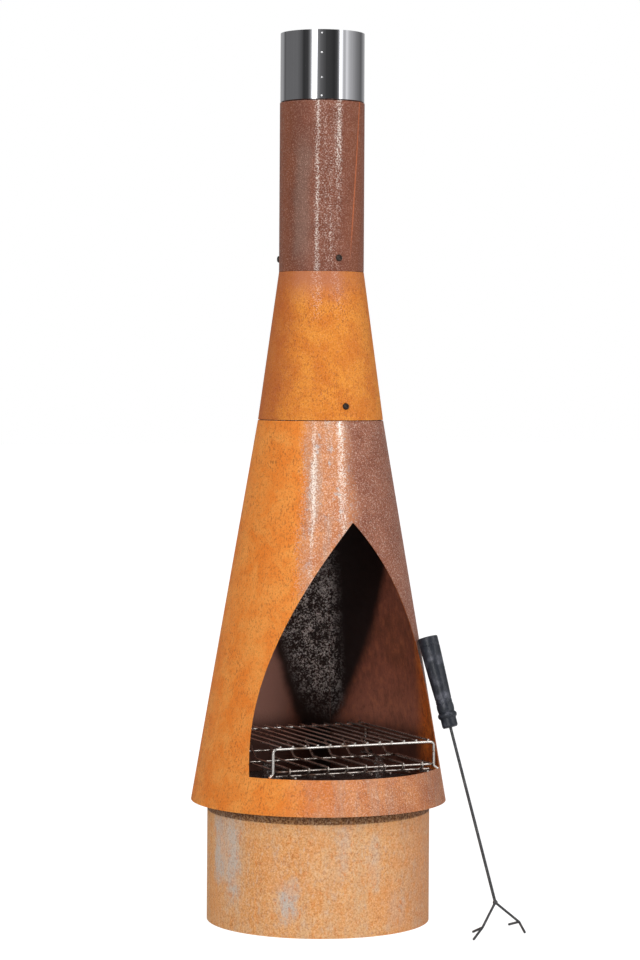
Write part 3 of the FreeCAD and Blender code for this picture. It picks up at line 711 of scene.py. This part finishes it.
def floor():
    """A plain floor that reads white to the camera and gives off less light elsewhere."""
    builder = bmesh.new()
    bmesh.ops.create_grid(builder, x_segments=1, y_segments=1, size=FLOOR_HALF)
    mesh = bpy.data.meshes.new("studio_floor")
    builder.to_mesh(mesh)
    builder.free()
    material = bpy.data.materials.new("studio_floor_white")
    material.use_nodes = True
    tree = material.node_tree
    tree.nodes.clear()
    dull = add(tree, "BsdfDiffuse", {"Color": (0.25, 0.25, 0.25, 1)})
    glow = add(tree, "Emission", {"Color": (1, 1, 1, 1), "Strength": 0.95})
    faint = add(tree, "Emission", {"Color": (1, 1, 1, 1), "Strength": 0.30})
    seen = add(tree, "LightPath").outputs["Is Camera Ray"]
    light = add(tree, "MixShader", {0: seen, 1: faint.outputs[0], 2: glow.outputs[0]})
    both = add(tree, "AddShader", {0: dull.outputs[0], 1: light.outputs[0]})
    out = tree.nodes.new("ShaderNodeOutputMaterial")
    tree.links.new(both.outputs[0], out.inputs["Surface"])
    mesh.materials.append(material)
    plane = bpy.data.objects.new("studio_floor", mesh)
    bpy.context.scene.collection.objects.link(plane)


# soft boxes: (name, angle, distance, width, height, height of the middle, radiance)
LAMPS = [
    ("left_strip", -46.0, 2.6, 0.50, 1.5, 1.2, 11.5),
    ("right_strip", 22.0, 2.6, 0.46, 1.5, 1.2, 10.5),
    ("front_fill", -12.0, 3.4, 1.0, 1.2, 0.9, 1.8),
    ("left_fill", -112.0, 2.6, 1.4, 2.4, 1.2, 0.9),
    ("right_fill", 78.0, 2.6, 1.4, 2.4, 1.2, 0.8)]


def soft_box(name, angle, distance, width, height, centre_z, radiance):
    """An upright lamp that faces the axis from an angle round it, and isn't seen in reflections."""
    data = bpy.data.lights.new(name, "AREA")
    data.shape = "RECTANGLE"
    data.size, data.size_y = width, height
    data.energy = radiance * math.pi * width * height
    light = bpy.data.objects.new(name, data)
    bpy.context.scene.collection.objects.link(light)
    place = around(angle, distance, centre_z)
    light.location = place
    light.rotation_euler = (Vector((0, 0, centre_z)) - place).to_track_quat("-Z", "Y").to_euler()
    light.visible_camera = False
    light.visible_glossy = False


# the studio's brightness round the object: (angle from -Y towards +X, brightness)
SURROUNDINGS = [
    (-180, 0.40), (-162, 0.40), (-149, 0.12), (-142, 0.18), (-96, 0.18), (-83, 0.11),
    (-77, 0.045), (-64, 0.06), (-58, 0.25), (-53, 0.9), (-50, 5.5), (-45, 5.5), (-40, 0.9),
    (-36, 0.38), (-30, 0.17), (-22, 0.12), (-16, 0.07), (9, 0.04), (17, 0.08), (21, 0.35),
    (24, 0.9), (26, 5.5), (29, 2.0), (35, 0.66), (40, 0.6), (46, 1.0), (56, 0.6), (80, 0.3),
    (106, 0.14), (124, 0.35), (145, 0.5), (180, 0.40)]


def studio_world():
    """White to the camera; to everything else, a room whose brightness depends on the angle."""
    world = bpy.data.worlds.new("studio")
    bpy.context.scene.world = world
    world.use_nodes = True
    tree = world.node_tree
    tree.nodes.clear()
    split = add(tree, "SeparateXYZ", {0: add(tree, "TexCoord").outputs["Generated"]}).outputs
    turn = calc(tree, "ARCTAN2", split["X"], calc(tree, "MULTIPLY", split["Y"], -1.0))
    share = calc(tree, "MULTIPLY_ADD", turn, 0.5 / math.pi, 0.5)
    ramp = add(tree, "ValToRGB", {0: share})
    bar = ramp.color_ramp
    while len(bar.elements) < len(SURROUNDINGS):
        bar.elements.new(0.5)
    for element, (angle, level) in zip(bar.elements, SURROUNDINGS):
        element.position = (angle + 180) / 360
        element.color = (level, level, level, 1)
    room = add(tree, "Background", {"Color": ramp.outputs[0], "Strength": 1.0})
    white = add(tree, "Background", {"Color": (1, 1, 1, 1), "Strength": 1.0})
    seen = add(tree, "LightPath").outputs["Is Camera Ray"]
    both = add(tree, "MixShader", {0: seen, 1: room.outputs[0], 2: white.outputs[0]})
    out = tree.nodes.new("ShaderNodeOutputWorld")
    tree.links.new(both.outputs[0], out.inputs["Surface"])


def camera():
    """A level camera with its frame shifted, turned by a small roll."""
    data = bpy.data.cameras.new("camera")
    data.lens = VIEW_LENS
    data.shift_y = VIEW_SHIFT
    data.clip_end = 100
    view = bpy.data.objects.new("camera", data)
    bpy.context.scene.collection.objects.link(view)
    place = around(VIEW_ANGLE, VIEW_DISTANCE, VIEW_HEIGHT)
    right = Vector((-place.y, place.x, 0)).normalized()
    aim = Vector((0, 0, VIEW_HEIGHT)) - right * VIEW_ASIDE
    back = (place - aim).normalized()
    across = UPRIGHT.cross(back).normalized()
    up = back.cross(across)
    turn = Matrix((across, up, back)).transposed()
    view.matrix_world = (Matrix.Translation(place) @ turn.to_4x4()
                         @ Matrix.Rotation(math.radians(VIEW_ROLL), 4, "Z"))
    bpy.context.scene.camera = view


floor()
for lamp in LAMPS:
    soft_box(*lamp)
studio_world()
camera()
bpy.context.scene.view_settings.view_transform = "Standard"
